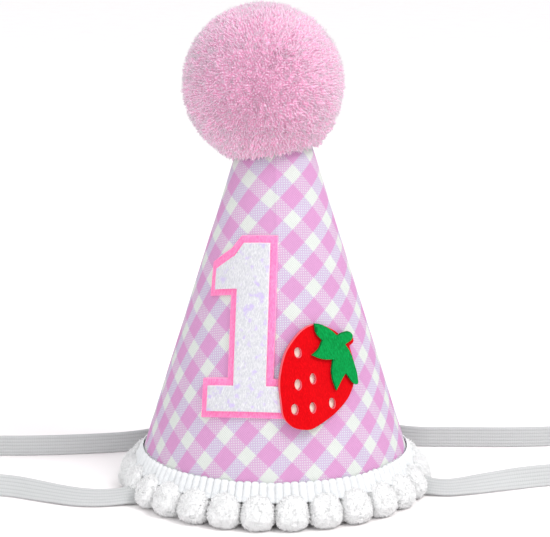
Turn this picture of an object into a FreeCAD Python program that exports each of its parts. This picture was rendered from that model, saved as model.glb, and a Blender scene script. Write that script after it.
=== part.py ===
import FreeCAD, Part
import math
import os

import Sketcher
from FreeCAD import Placement, Rotation, Vector

# A first-birthday cone hat that stands on the balls of its fringe. Millimetres, +Z up, the origin on
# the surface it stands on, under the middle of the cone. The numeral faces -Y.

doc = FreeCAD.newDocument("BirthdayConeHat")

# ---------------------------------------------------------------- driving sizes
SIZES = (
    ("CardBaseDia", 85.4, "outside diameter of the card cone at its rim"),
    ("CardTipDia", 14.6, "outside diameter of the card cone where its tip is cut off"),
    ("ConeHeight", 112.5, "height of the card cone from its rim to the cut tip"),
    ("CardWall", 0.8, "thickness of the card"),
    ("CoverWall", 0.4, "thickness of the gingham cotton glued to the card"),
    ("FeltWall", 1.0, "thickness of each felt layer of the numeral and of the leaves"),
    ("BerryWall", 1.2, "thickness of the strawberry's felt"),
    ("DiscWall", 1.5, "thickness of the card disc that closes the tip"),
    ("CordDia", 2.0, "diameter of the tie cord"),
    ("KnotDia", 5.0, "diameter of a knot in the tie cord"),
    ("PompomDia", 50.0, "diameter of the pom-pom"),
    ("PompomLift", 7.5, "height of the pom-pom's middle above the cut tip"),
    ("PompomShift", 3.6, "how far to the left of the cone's axis the pom-pom is tied"),
    ("WobbleRoom", 11.0, "tilt in degrees that the pom-pom's socket leaves free round the tip"),
    ("MoveGap", 0.3, "clearance between pieces that move past each other"),
    ("HeaderHeight", 5.2, "height of the braided heading of the fringe"),
    ("HeaderWall", 1.1, "thickness of the braided heading"),
    ("BallDia", 8.0, "diameter of a fringe ball"),
    ("BallFlat", 0.1, "how far the weight of the hat flattens a ball's bottom"),
    ("BallGap", 2.2, "least gap between neighbouring balls, which the elastic passes through"),
    ("BallStep", 1.3, "how far the balls' middles hang outside the heading"),
    ("ThreadDia", 0.8, "diameter of the thread that hangs a ball"),
    ("ThreadShow", 0.1, "length of thread that shows above a ball"),
    ("ElasticWidth", 7.0, "width of the flat elastic, which stands on its edge"),
    ("ElasticWall", 1.0, "thickness of the flat elastic"),
    ("ElasticRoom", 1.0, "least height left above the elastic where it passes under the rim"),
    ("TabHeight", 8.0, "height of the elastic's end where it is glued inside the rim"),
    ("PatchWidth", 13.0, "width of the felt patch over each end of the elastic"),
    ("PatchHeight", 12.0, "height of that felt patch"),
    ("NumeralMargin", 2.1, "border of pink felt that shows round the white numeral"),
    ("NumeralHeight", 50.8, "height of the white numeral"),
    ("StemWidth", 10.0, "width of the numeral's stem"),
    ("BaseWidth", 27.6, "width of the numeral's base"),
    ("BaseHeight", 7.6, "height of the numeral's base"),
)

sheet = doc.addObject("Spreadsheet::Sheet", "Sizes")
for row, (alias, value, note) in enumerate(SIZES, start=1):
    sheet.set("A%d" % row, note)
    sheet.set("B%d" % row, str(value))
    sheet.setAlias("B%d" % row, alias)
doc.recompute()


def size(alias):
    return float(getattr(sheet, alias))


# Expressions of the cone that every layer follows. A layer's surface is its offset, measured square
# to the wall, from the card's outside. The rim clears both the balls and the elastic below it.
SEAT_Z = "(Sizes.BallDia / 2 - Sizes.BallFlat)"
RIM_Z = ("max(%s + Sizes.BallDia / 2 + Sizes.ThreadShow; Sizes.ElasticWidth + Sizes.ElasticRoom)"
         % SEAT_Z)
TIP_Z = "(%s + Sizes.ConeHeight)" % RIM_Z
SLOPE = "((Sizes.CardBaseDia - Sizes.CardTipDia) / 2 / Sizes.ConeHeight)"
PIVOT_Z = "(%s + Sizes.MoveGap + Sizes.KnotDia / 2)" % TIP_Z
COVER = "Sizes.CoverWall"
HEADER = "(Sizes.CoverWall + Sizes.HeaderWall)"
INSIDE = "(0 - Sizes.CardWall)"


def cone_radius(height, offset):
    """Expression for a layer's radius at a height."""
    return "(Sizes.CardBaseDia / 2 - (%s - %s) * %s + %s * sqrt(1 + %s^2))" % (
        height, RIM_Z, SLOPE, offset, SLOPE)


def bind(feature, **expressions):
    for prop, expression in expressions.items():
        feature.setExpression(prop.replace("__", "."), expression)
    return feature


# ---------------------------------------------------------------- ways of making a piece
def turned(label, corners):
    """A body turned about Z from a closed outline of (radius, height) expressions."""
    body = doc.addObject("PartDesign::Body", label)
    plane = next(item for item in body.Origin.OriginFeatures if item.Role == "XZ_Plane")
    sketch = body.newObject("Sketcher::SketchObject", label + "_outline")
    sketch.AttachmentSupport = [(plane, "")]
    sketch.MapMode = "FlatFace"
    count = len(corners)
    turn = 2 * math.pi / count
    rough = [Vector(60 + 20 * math.cos(turn * i), 60 + 20 * math.sin(turn * i), 0) for i in range(count)]
    for i in range(count):
        sketch.addGeometry(Part.LineSegment(rough[i], rough[(i + 1) % count]))
    for i in range(count):
        sketch.addConstraint(Sketcher.Constraint("Coincident", i, 2, (i + 1) % count, 1))
    for i, (radius, height) in enumerate(corners):
        for kind, expression in (("DistanceX", radius), ("DistanceY", height)):
            start = rough[i].x if kind == "DistanceX" else rough[i].y
            index = sketch.addConstraint(Sketcher.Constraint(kind, -1, 1, i, 1, start))
            sketch.setExpression("Constraints[%d]" % index, expression)
    turning = body.newObject("PartDesign::Revolution", label + "_turning")
    turning.Profile = sketch
    turning.ReferenceAxis = (sketch, ["V_Axis"])
    turning.Angle = 360
    sketch.Visibility = False
    return body


def cone_layer(label, low, high, inner, outer):
    """A ring that follows the cone between two heights and two offsets."""
    return turned(label, (
        (cone_radius(low, inner), low),
        (cone_radius(low, outer), low),
        (cone_radius(high, outer), high),
        (cone_radius(high, inner), high)))


def cone_blank(name, low, high, offset):
    blank = doc.addObject("Part::Cone", name)
    return bind(blank, Radius1=cone_radius(low, offset), Radius2=cone_radius(high, offset),
                Height="%s - %s" % (high, low), Placement__Base__z=low)


def shell_blank(name, low, high, inner, outer):
    shell = doc.addObject("Part::Cut", name)
    shell.Base = cone_blank(name + "_out", low, high, outer)
    shell.Tool = cone_blank(name + "_in", low, high, inner)
    return shell


def boolean(kind, label, base, tool):
    made = doc.addObject(kind, label)
    made.Base = base
    made.Tool = tool
    return made


def ball(name, diameter, height):
    sphere = doc.addObject("Part::Sphere", name)
    return bind(sphere, Radius="%s / 2" % diameter, Placement__Base__z=height)


def rod(name, diameter, low, high):
    cylinder = doc.addObject("Part::Cylinder", name)
    return bind(cylinder, Radius="%s / 2" % diameter, Height="%s - %s" % (high, low),
                Placement__Base__z=low)


# ---------------------------------------------------------------- cone, cover and tip
nodes = []
nodes.append(cone_layer("card_cone", RIM_Z, TIP_Z, INSIDE, "0"))
nodes.append(cone_layer("gingham_cover", RIM_Z, TIP_Z, "0", COVER))

DISC_Z = "(%s - Sizes.DiscWall)" % TIP_Z
nodes.append(turned("tip_disc", (
    ("Sizes.CordDia / 2", DISC_Z),
    (cone_radius(DISC_Z, INSIDE), DISC_Z),
    (cone_radius(TIP_Z, INSIDE), TIP_Z),
    ("Sizes.CordDia / 2", TIP_Z))))

KNOT_Z = "(%s - Sizes.KnotDia / 2)" % DISC_Z
nodes.append(boolean("Part::Fuse", "tie_knot",
                     ball("tie_knot_ball", "Sizes.KnotDia", KNOT_Z),
                     rod("tie_knot_cord", "Sizes.CordDia", KNOT_Z, TIP_Z)))

# ---------------------------------------------------------------- pom-pom on its tie
nodes.append(ball("pompom_tie", "Sizes.KnotDia", PIVOT_Z))

# The socket under the pom-pom opens wider than the cone by the room that the wobble needs.
SOCKET_TAN = "tan(atan(%s) + Sizes.WobbleRoom * 1deg)" % SLOPE
SOCKET_TOP_Z = "(%s + %s * sin(Sizes.WobbleRoom * 1deg) + Sizes.MoveGap)" % (
    TIP_Z, cone_radius(TIP_Z, COVER))
SOCKET_TOP_R = "(%s + Sizes.MoveGap)" % cone_radius(TIP_Z, COVER)
SOCKET_DEPTH = "(Sizes.PompomDia / 2)"
socket = doc.addObject("Part::Cone", "pompom_socket")
bind(socket, Radius1="%s + %s * %s" % (SOCKET_TOP_R, SOCKET_DEPTH, SOCKET_TAN), Radius2=SOCKET_TOP_R,
     Height=SOCKET_DEPTH, Placement__Base__z="%s - %s" % (SOCKET_TOP_Z, SOCKET_DEPTH))
cup = ball("pompom_cup", "(Sizes.KnotDia + 2 * Sizes.MoveGap)", PIVOT_Z)
yarn = ball("pompom_yarn", "Sizes.PompomDia", "%s + Sizes.PompomLift" % TIP_Z)
bind(yarn, Placement__Base__x="0 - Sizes.PompomShift")
nodes.append(boolean("Part::Cut", "pompom", yarn, boolean("Part::Fuse", "pompom_hollow", socket, cup)))

# ---------------------------------------------------------------- ball fringe
nodes.append(cone_layer("trim_header", RIM_Z, "(%s + Sizes.HeaderHeight)" % RIM_Z, COVER, HEADER))

slope = (size("CardBaseDia") - size("CardTipDia")) / 2 / size("ConeHeight")
half_angle = math.atan(slope)
rim_z = max(size("BallDia") - size("BallFlat") + size("ThreadShow"),
            size("ElasticWidth") + size("ElasticRoom"))
header_radius = size("CardBaseDia") / 2 + (size("CoverWall") + size("HeaderWall")) / math.cos(half_angle)
ball_circle = header_radius + size("BallStep")

# A multiple of four balls keeps the fringe alike on all four sides.
BALLS_PER_QUARTER = int(math.pi / 2 * ball_circle / (size("BallDia") + size("BallGap")))
BALL_COUNT = 4 * BALLS_PER_QUARTER
BALL_R = "(%s + Sizes.BallStep)" % cone_radius(RIM_Z, HEADER)
THREAD_R = "(%s - Sizes.HeaderWall / 2)" % cone_radius(RIM_Z, HEADER)


def around(feature, radius, angle):
    return bind(feature, Placement__Base__x="%s * cos(%s * 1deg)" % (radius, angle),
                Placement__Base__y="%s * sin(%s * 1deg)" % (radius, angle))


threads = []
for number in range(1, BALL_COUNT + 1):
    angle = (number - 0.5) * 360 / BALL_COUNT
    label = "trim_ball_%02d" % number
    yarn_ball = around(ball(label + "_yarn", "Sizes.BallDia", SEAT_Z), BALL_R, angle)
    bind(yarn_ball, Angle1="-asin(2 * %s / Sizes.BallDia)" % SEAT_Z)
    hole = around(rod(label + "_hole", "Sizes.ThreadDia", SEAT_Z, RIM_Z), THREAD_R, angle)
    nodes.append(boolean("Part::Cut", label, yarn_ball, hole))
    threads.append(around(rod("thread_%02d" % number, "Sizes.ThreadDia", SEAT_Z, RIM_Z), THREAD_R, angle))
thread_group = doc.addObject("Part::Compound", "trim_threads")
thread_group.Links = threads
nodes.append(thread_group)

# ---------------------------------------------------------------- felt numeral and strawberry
# Flat patterns in millimetres, x to the right and y towards the tip, laid on the cone at a foot point
# given by its angle round from the front and its height above the rim.
def on_cone(point, foot_angle, foot_height, offset):
    """Where a point of a flat pattern lands, seen square from the front, on a layer of the cone."""
    apex = rim_z + size("CardBaseDia") / 2 / slope + offset / math.sin(half_angle)
    reach = (apex - rim_z - foot_height) / math.cos(half_angle)
    lean = math.radians(foot_angle) * math.sin(half_angle)
    across = reach * math.sin(lean) + point[0] * math.cos(lean) - point[1] * math.sin(lean)
    down = reach * math.cos(lean) - point[0] * math.sin(lean) - point[1] * math.cos(lean)
    slant = math.hypot(across, down)
    round_angle = math.atan2(across, down) / math.sin(half_angle)
    radius = slant * math.sin(half_angle)
    return Vector(radius * math.sin(round_angle), 0, apex - slant * math.cos(half_angle))


def felt_prism(name, outline):
    """An outline carried forwards through the cone's wall."""
    face = doc.addObject("Part::Feature", name + "_outline")
    face.Shape = outline
    prism = doc.addObject("Part::Extrusion", name)
    prism.Base = face
    prism.DirMode = "Custom"
    prism.Dir = Vector(0, -1, 0)
    prism.Solid = True
    return bind(prism, LengthFwd="Sizes.CardBaseDia")


def felt_piece(label, outlines, inner, outer):
    """A felt layer cut to flat outlines and wrapped on the cone between two offsets."""
    shell = shell_blank(label + "_shell", RIM_Z, TIP_Z, inner, outer)
    prism = felt_prism(label + "_prism", outlines[0])
    for number, outline in enumerate(outlines[1:], start=2):
        extra = felt_prism("%s_prism_%d" % (label, number), outline)
        prism = boolean("Part::Fuse", "%s_joined_%d" % (label, number), prism, extra)
    return boolean("Part::Common", label, prism, shell)


def straight_face(points):
    return Part.Face(Part.makePolygon(points + points[:1]))


def curved_face(points):
    curve = Part.BSplineCurve()
    curve.interpolate(Points=points, PeriodicFlag=True)
    return Part.Face(Part.Wire(curve.toShape()))


NUMERAL_ANGLE = -12.5
NUMERAL_FOOT = 25.7
NUMERAL_LEAN = 2.0
FLAG_WIDTH = 8.1
FLAG_HEIGHT = 6.4
FLAG_DROP = 7.4
BROW = 1.7
BROW_BEND = 2.0


def numeral(offset, margin):
    """The numeral's outline, grown all round by a margin."""
    stem = size("StemWidth") / 2 + margin
    base = size("BaseWidth") / 2 + margin
    base_top = size("BaseHeight") + margin
    top = size("NumeralHeight") + margin
    brow = BROW - size("StemWidth") / 2 - margin / 2
    flag_left = -stem - FLAG_WIDTH
    flag_top = top - FLAG_DROP
    flag_low = flag_top - FLAG_HEIGHT - 2 * margin
    corners = ((-base, -margin), (base, -margin), (base, base_top), (stem, base_top), (stem, top),
               (brow, top), ((brow - stem) / 2 - BROW_BEND, (top + flag_top) / 2), (flag_left, flag_top),
               (flag_left, flag_low), (-stem, flag_low), (-stem, base_top), (-base, base_top))
    turn = math.radians(NUMERAL_LEAN)
    leant = [(x * math.cos(turn) - y * math.sin(turn), x * math.sin(turn) + y * math.cos(turn))
             for x, y in corners]
    return straight_face([on_cone(corner, NUMERAL_ANGLE, NUMERAL_FOOT, offset) for corner in leant])


BACKING_TOP = size("CoverWall") + size("FeltWall")
NUMERAL_TOP = BACKING_TOP + size("FeltWall")
nodes.append(felt_piece("numeral_backing", [numeral(BACKING_TOP, size("NumeralMargin"))],
                        COVER, "(%s + Sizes.FeltWall)" % COVER))
nodes.append(felt_piece("numeral_front", [numeral(NUMERAL_TOP, 0)],
                        "(%s + Sizes.FeltWall)" % COVER, "(%s + 2 * Sizes.FeltWall)" % COVER))

BERRY_ANGLE = 23.0
BERRY_FOOT = 34.4
BERRY_OUTLINE = ((-1.0, 16.6), (-7.6, 12.6), (-12.2, 3.8), (-13.1, -4.8), (-12.2, -11.0), (-7.3, -14.0),
                 (-0.6, -12.8), (5.5, -9.6), (11.4, -3.9), (13.6, 2.0), (12.4, 9.5), (6.4, 14.8))
BERRY_STALK = ((9.0, 10.7), (12.0, 8.9), (14.9, 11.4), (12.6, 12.7))
LEAVES = ((0.0, 17.2), (5.3, 14.8), (7.7, 12.9), (10.6, 13.7), (13.2, 13.6), (14.0, 12.2), (10.4, 10.0),
          (12.0, 5.2), (13.4, -0.8), (12.7, -2.3), (9.1, 1.3), (4.6, -3.2), (5.0, 5.8), (-2.2, 7.9),
          (2.1, 11.8))
SEED_SPOTS = ((-6.3, 9.1), (-2.4, 0.7), (-7.4, -0.4), (-9.3, -7.6), (-3.6, -7.8), (3.4, -7.5))
SEED_HALF_WIDTH = 1.0
SEED_HALF_HEIGHT = 1.6
BERRY_TOP = NUMERAL_TOP + size("BerryWall")


def on_berry(points, offset):
    return [on_cone(point, BERRY_ANGLE, BERRY_FOOT, offset) for point in points]


def oval(spot, half_width, half_height, offset):
    turns = [math.radians(45 * i) for i in range(8)]
    rim = [(spot[0] + half_width * math.cos(t), spot[1] + half_height * math.sin(t)) for t in turns]
    return curved_face(on_berry(rim, offset))


BERRY_BACK = "(%s + 2 * Sizes.FeltWall)" % COVER
BERRY_FACE = "(%s + Sizes.BerryWall)" % BERRY_BACK
berry_face = curved_face(on_berry(BERRY_OUTLINE, BERRY_TOP))
for spot in SEED_SPOTS:
    berry_face = berry_face.cut(oval(spot, SEED_HALF_WIDTH, SEED_HALF_HEIGHT, BERRY_TOP))
stalk_face = straight_face(on_berry(BERRY_STALK, BERRY_TOP))
nodes.append(felt_piece("strawberry_body", [berry_face, stalk_face], BERRY_BACK, BERRY_FACE))
nodes.append(felt_piece("strawberry_calyx", [straight_face(on_berry(LEAVES, BERRY_TOP + size("FeltWall")))],
                        BERRY_FACE, "(%s + Sizes.FeltWall)" % BERRY_FACE))
# The strawberry laps over the numeral, so a pad of glue fills the space behind its other side.
GLUE_SPOT = (4.0, 2.0)
GLUE_RADIUS = 4.0
nodes.append(felt_piece("strawberry_glue", [oval(GLUE_SPOT, GLUE_RADIUS, GLUE_RADIUS, NUMERAL_TOP)],
                        COVER, BERRY_BACK))

# ---------------------------------------------------------------- elastic
# The middle line of the band as it lies on the surface, from its left end under the rim, out and back
# in a loop, round behind the hat, and through the other loop to its right end. Each end runs straight
# through the gap between two balls.
LEFT_GAP = 206.0
RIGHT_GAP = -13.0
LEFT_HEADING = 192.0
RIGHT_HEADING = -24.0
END_INSIDE = 4.9
END_OUTSIDE = 6.8


def beside_gap(near_angle, heading, distance):
    """A point on the straight run through the gap nearest to an angle round from +X."""
    pitch = 360 / BALL_COUNT
    gap = math.radians(round(near_angle / pitch) * pitch)
    run = math.radians(heading)
    return (ball_circle * math.cos(gap) + distance * math.cos(run),
            ball_circle * math.sin(gap) + distance * math.sin(run))


ELASTIC_ROUTE = (
    beside_gap(LEFT_GAP, LEFT_HEADING, -END_INSIDE), beside_gap(LEFT_GAP, LEFT_HEADING, END_OUTSIDE),
    (-58.8, -23.1), (-71.5, -18.0), (-84.0, -12.3), (-97.5, -11.5), (-111.5, -14.3), (-122.4, -9.0),
    (-128.4, 1.1), (-128.4, 13.1), (-122.4, 23.8), (-112.0, 30.5), (-98.0, 29.2), (-84.0, 28.7),
    (-66.0, 30.3), (-45.5, 34.2), (-31.3, 47.1), (-16.2, 56.0), (0.0, 59.2), (16.2, 57.4), (31.0, 50.3),
    (45.0, 39.1), (63.0, 39.2), (82.0, 38.6), (97.0, 40.3), (110.0, 43.1), (120.4, 37.7), (126.4, 27.7),
    (126.4, 15.7), (120.4, 4.9), (110.0, -1.7), (98.0, -1.6), (86.0, -3.2), (73.0, -6.9), (61.0, -10.6),
    beside_gap(RIGHT_GAP, RIGHT_HEADING, END_OUTSIDE), beside_gap(RIGHT_GAP, RIGHT_HEADING, -END_INSIDE))
ARC_SHARE = 0.45
END_DEPTH = 3.7
END_OVERLAP = 1.0


def rounded_path(points, height):
    """Straight runs joined by tangent arcs, each as large as its two runs allow."""
    corners = [Vector(x, y, height) for x, y in points]
    edges = []
    radii = []
    start = corners[0]
    for before, corner, after in zip(corners, corners[1:], corners[2:]):
        back = before - corner
        ahead = after - corner
        cut = ARC_SHARE * min(back.Length, ahead.Length)
        turn = math.pi - back.getAngle(ahead)
        radius = cut / math.tan(turn / 2)
        radii.append(radius)
        back.normalize()
        ahead.normalize()
        arc_start = corner + back * cut
        arc_end = corner + ahead * cut
        middle = back + ahead
        middle.normalize()
        arc_middle = corner + middle * (radius / math.cos(turn / 2) - radius)
        edges.append(Part.LineSegment(start, arc_start).toShape())
        edges.append(Part.Arc(arc_start, arc_middle, arc_end).toShape())
        start = arc_end
    edges.append(Part.LineSegment(start, corners[-1]).toShape())
    return Part.Wire(edges), radii


def band_solid(path, start, heading):
    """The band's flat section, standing on its edge, swept along the path."""
    side = Vector(-heading.y, heading.x, 0) * (size("ElasticWall") / 2)
    up = Vector(0, 0, size("ElasticWidth") / 2)
    section = Part.makePolygon([start - side - up, start + side - up, start + side + up,
                                start - side + up, start - side - up])
    sweep = Part.BRepOffsetAPI.MakePipeShell(path)
    sweep.setBiNormalMode(Vector(0, 0, 1))
    sweep.add(section, False, False)
    sweep.build()
    sweep.makeSolid()
    return sweep.shape()


def heading_of(first, second):
    heading = Vector(second[0] - first[0], second[1] - first[1], 0)
    return heading.normalize()


route_path, route_radii = rounded_path(ELASTIC_ROUTE, size("ElasticWidth") / 2)
band = doc.addObject("Part::Feature", "elastic_band")
band.Shape = band_solid(route_path, Vector(*ELASTIC_ROUTE[0], size("ElasticWidth") / 2),
                        heading_of(*ELASTIC_ROUTE[:2]))
nodes.append(band)

section_area = size("ElasticWidth") * size("ElasticWall")
print("elastic length %.1f, volume over section x length %.4f" % (
    route_path.Length, band.Shape.Volume / section_area / route_path.Length))
print("elastic radii", " ".join("%.1f" % radius for radius in route_radii))

TAB_BACK = "(0 - Sizes.CardWall - Sizes.ElasticWall)"
PATCH_BACK = "(0 - Sizes.CardWall - Sizes.ElasticWall - Sizes.FeltWall)"


def slab(name, width, low, high, angle):
    """An upright bar from the axis outwards, square to a direction round from +X."""
    bar = doc.addObject("Part::Box", name)
    bind(bar, Length="Sizes.CardBaseDia / 2", Width=width, Height="%s - %s" % (high, low))
    turn = math.radians(angle)
    bind(bar, Placement__Base__x="%s / 2 * %r" % (width, math.sin(turn)),
         Placement__Base__y="0 - %s / 2 * %r" % (width, math.cos(turn)),
         Placement__Base__z=low)
    bar.Placement.Rotation = Rotation(Vector(0, 0, 1), angle)
    return bar


for side, end, inner in (("left", ELASTIC_ROUTE[0], ELASTIC_ROUTE[1]),
                         ("right", ELASTIC_ROUTE[-1], ELASTIC_ROUTE[-2])):
    angle = math.degrees(math.atan2(end[1], end[0]))
    tab_top = "(%s + Sizes.TabHeight)" % RIM_Z
    tab_shell = shell_blank("tab_shell_" + side, RIM_Z, tab_top, TAB_BACK, INSIDE)
    tab_bar = slab("tab_bar_" + side, "Sizes.ElasticWidth", RIM_Z, tab_top, angle)
    tab = boolean("Part::Common", "tab_" + side, tab_bar, tab_shell)
    # The folded stretch that rises from the surface to the wall, in line with the band's first run.
    inwards = heading_of(inner, end)
    riser = doc.addObject("Part::Box", "riser_" + side)
    across = Vector(-inwards.y, inwards.x, 0)
    corner = Vector(*end, 0) - across * (size("ElasticWall") / 2)
    bind(riser, Width="Sizes.ElasticWall", Height="%s + %r" % (RIM_Z, END_OVERLAP))
    riser.Length = END_DEPTH
    riser.Placement = Placement(corner, Rotation(Vector(1, 0, 0), inwards))
    end_piece = boolean("Part::Fuse", "elastic_end_" + side, tab, riser)
    nodes.append(end_piece)

    patch_top = "(%s + Sizes.PatchHeight)" % RIM_Z
    patch_shell = shell_blank("patch_shell_" + side, RIM_Z, patch_top, PATCH_BACK, INSIDE)
    patch_bar = slab("patch_bar_" + side, "Sizes.PatchWidth", RIM_Z, patch_top, angle)
    patch = boolean("Part::Common", "patch_" + side, patch_bar, patch_shell)
    nodes.append(boolean("Part::Cut", "elastic_patch_" + side, patch, end_piece))

# ---------------------------------------------------------------- check and write
doc.recompute()
faults = [item.Name for item in doc.Objects if "Invalid" in item.State or "Error" in item.State]
if faults:
    raise RuntimeError("failed features: " + ", ".join(faults))
os.makedirs("parts", exist_ok=True)
for node in nodes:
    shape = node.Shape
    if shape.isNull() or not shape.isValid() or not shape.Solids:
        raise RuntimeError("bad shape: " + node.Label)
for node in nodes:
    node.Shape.exportStep("parts/%s.step" % node.Label)
print("%d nodes, %d solids" % (len(nodes), sum(len(node.Shape.Solids) for node in nodes)))
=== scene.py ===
# %% [markdown]
# # A first-birthday cone hat
# The real hat is a card cone covered with gingham cotton. A yarn pom-pom is tied to its tip, a felt
# numeral and a felt strawberry are glued to its front, a fringe of small yarn balls runs round its
# rim, and a flat elastic goes under the chin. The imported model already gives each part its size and
# place, so this lesson only dresses it. We load the model first and read the sizes we need from it.
# The vector noise in mathutils starts from the clock unless it is given a seed, so it is given one and
# every run makes the same fibres.

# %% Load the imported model
import math
import random
import bmesh
import bpy
from mathutils import Matrix, Vector, noise


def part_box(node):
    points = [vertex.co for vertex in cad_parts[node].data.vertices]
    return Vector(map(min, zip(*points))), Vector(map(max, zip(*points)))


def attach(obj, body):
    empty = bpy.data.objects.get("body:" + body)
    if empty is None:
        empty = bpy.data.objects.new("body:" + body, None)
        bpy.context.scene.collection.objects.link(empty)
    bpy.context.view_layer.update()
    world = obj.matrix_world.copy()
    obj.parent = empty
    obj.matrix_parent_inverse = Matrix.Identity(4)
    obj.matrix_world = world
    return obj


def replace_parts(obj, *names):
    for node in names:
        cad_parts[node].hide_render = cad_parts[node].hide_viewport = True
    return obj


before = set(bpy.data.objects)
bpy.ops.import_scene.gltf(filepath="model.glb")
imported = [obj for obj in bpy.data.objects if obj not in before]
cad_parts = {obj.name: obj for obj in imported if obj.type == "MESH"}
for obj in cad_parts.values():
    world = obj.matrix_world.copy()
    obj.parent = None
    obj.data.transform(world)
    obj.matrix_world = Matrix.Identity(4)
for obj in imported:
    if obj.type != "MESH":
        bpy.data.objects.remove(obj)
NOISE_SEED = 8
noise.seed_set(NOISE_SEED)
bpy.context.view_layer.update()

card_low, card_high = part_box("card_cone")
cover_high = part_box("gingham_cover")[1]
header_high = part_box("trim_header")[1]
pompom_low, pompom_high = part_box("pompom")

RIM_Z = card_low[2]
TIP_Z = card_high[2]
RIM_RADIUS = card_high[0]
card_points = [vertex.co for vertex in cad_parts["card_cone"].data.vertices]
TIP_RADIUS = max(math.hypot(point.x, point.y) for point in card_points if point.z > TIP_Z - 0.0001)
SLOPE = (RIM_RADIUS - TIP_RADIUS) / (TIP_Z - RIM_Z)
HALF_ANGLE = math.atan(SLOPE)
COTTON = (cover_high[0] - card_high[0]) * math.cos(HALF_ANGLE)
BRAID = (header_high[0] - cover_high[0]) * math.cos(HALF_ANGLE)
print("cone rim %.4f tip %.4f radii %.4f %.4f" % (RIM_Z, TIP_Z, RIM_RADIUS, TIP_RADIUS))
print("cotton %.5f braid %.5f" % (COTTON, BRAID))

# %% [markdown]
# ## Camera, floor and light
# A product picture like this one is taken from a little above the table with a long lens, on a white
# sweep with large soft lamps. A bright sky alone would leave the yarn flat and the fringe without a
# shadow, so a key lamp stands high on the right and a weaker, wider fill lamp low on the left.

# %% Camera
def place_object(name, data):
    """A scene object for some data, at the origin."""
    holder = bpy.data.objects.new(name, data)
    bpy.context.scene.collection.objects.link(holder)
    return holder


LOOK_AT = Vector((0.0, 0.0, 0.0700))
CAMERA_DISTANCE = 0.600
CAMERA_RISE = math.radians(11.6)
LENS = 125.3

ahead = Vector((0, math.cos(CAMERA_RISE), -math.sin(CAMERA_RISE)))
level_right = Vector((1, 0, 0))
level_up = Vector((0, math.sin(CAMERA_RISE), math.cos(CAMERA_RISE)))
camera = place_object("camera", bpy.data.cameras.new("camera"))
camera.data.sensor_width = 36
camera.data.lens = LENS
camera.matrix_world = Matrix((level_right, level_up, -ahead)).transposed().to_4x4()
camera.location = LOOK_AT - ahead * CAMERA_DISTANCE
bpy.context.scene.camera = camera
bpy.context.scene.view_settings.view_transform = "Standard"


# %% Lamps and sky
def soft_lamp(name, place, size, watts, colour):
    lamp = bpy.data.lights.new(name, "AREA")
    lamp.shape = "DISK"
    lamp.size = size
    lamp.energy = watts
    lamp.color = colour
    holder = place_object(name, lamp)
    holder.location = place
    holder.rotation_euler = (LOOK_AT - Vector(place)).to_track_quat("-Z", "Y").to_euler()
    print(name, "at", place)


soft_lamp("key_lamp", (0.60, -0.45, 0.95), 0.45, 6.0, (1.0, 0.99, 0.98))
soft_lamp("fill_lamp", (-0.5, -1.1, 0.35), 0.9, 1.9, (0.97, 0.98, 1.0))
sky = bpy.data.worlds.new("pale_sky")
sky.use_nodes = True
sky.node_tree.nodes["Background"].inputs["Color"].default_value = (0.985, 0.99, 1.0, 1.0)
sky.node_tree.nodes["Background"].inputs["Strength"].default_value = 1.03
bpy.context.scene.world = sky

# %% [markdown]
# ## Small tools for materials
# Every finish below is a node tree. Adding nodes one by one takes a lot of lines, so four short
# helpers do it: one adds a node and joins its inputs, one does arithmetic, one mixes two colours and
# one starts a material. Effects that several finishes share become node groups later.


# %% Node helpers
def add(tree, kind, inputs=None, **settings):
    """Adds a shader node; an input is either a plain value or the socket that feeds it."""
    made = tree.nodes.new("ShaderNode" + kind)
    for setting, value in settings.items():
        setattr(made, setting, value)
    for key, value in (inputs or {}).items():
        if isinstance(value, bpy.types.NodeSocket):
            tree.links.new(value, made.inputs[key])
        else:
            made.inputs[key].default_value = value
    return made


def calc(tree, operation, first, second=0.0, third=0.0):
    return add(tree, "Math", {0: first, 1: second, 2: third}, operation=operation).outputs[0]


def mix(tree, factor, first, second, blend="MIX"):
    made = add(tree, "Mix", {0: factor, 6: first, 7: second}, data_type="RGBA", blend_type=blend)
    return made.outputs[2]


def ease(tree, value, low, high, bottom=0.0, top=1.0):
    """Maps a value from low..high to bottom..top, smoothly and clamped."""
    made = add(tree, "MapRange", {0: value, 1: low, 2: high, 3: bottom, 4: top},
               interpolation_type="SMOOTHSTEP")
    return made.outputs[0]


def tint(code):
    """A colour from six hex digits, as the linear values that shaders use."""
    channels = [int(code[i:i + 2], 16) / 255 for i in (0, 2, 4)]
    linear = [c / 12.92 if c <= 0.04045 else ((c + 0.055) / 1.055) ** 2.4 for c in channels]
    return (*linear, 1.0)


def start_material(name, **constants):
    """A material with its Principled shader, whose plain values are set on its own sockets."""
    material = bpy.data.materials.new(name)
    material.use_nodes = True
    shader = material.node_tree.nodes["Principled BSDF"]
    for socket, value in constants.items():
        shader.inputs[socket.replace("_", " ")].default_value = value
    return material, material.node_tree, shader


def start_group(name, inputs, outputs):
    """A shader node group with named inputs and outputs, and its two end nodes."""
    tree = bpy.data.node_groups.new(name, "ShaderNodeTree")
    for socket, kind in inputs:
        tree.interface.new_socket(socket, in_out="INPUT", socket_type="NodeSocket" + kind)
    for socket, kind in outputs:
        tree.interface.new_socket(socket, in_out="OUTPUT", socket_type="NodeSocket" + kind)
    return tree, tree.nodes.new("NodeGroupInput"), tree.nodes.new("NodeGroupOutput")


def use_group(tree, group, inputs):
    made = tree.nodes.new("ShaderNodeGroup")
    made.node_tree = group
    for key, value in inputs.items():
        if isinstance(value, bpy.types.NodeSocket):
            tree.links.new(value, made.inputs[key])
        else:
            made.inputs[key].default_value = value
    return made


def bump(tree, shader, height, distance, strength=1.0):
    made = add(tree, "Bump", {"Height": height, "Distance": distance, "Strength": strength})
    tree.links.new(made.outputs[0], shader.inputs["Normal"])


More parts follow.
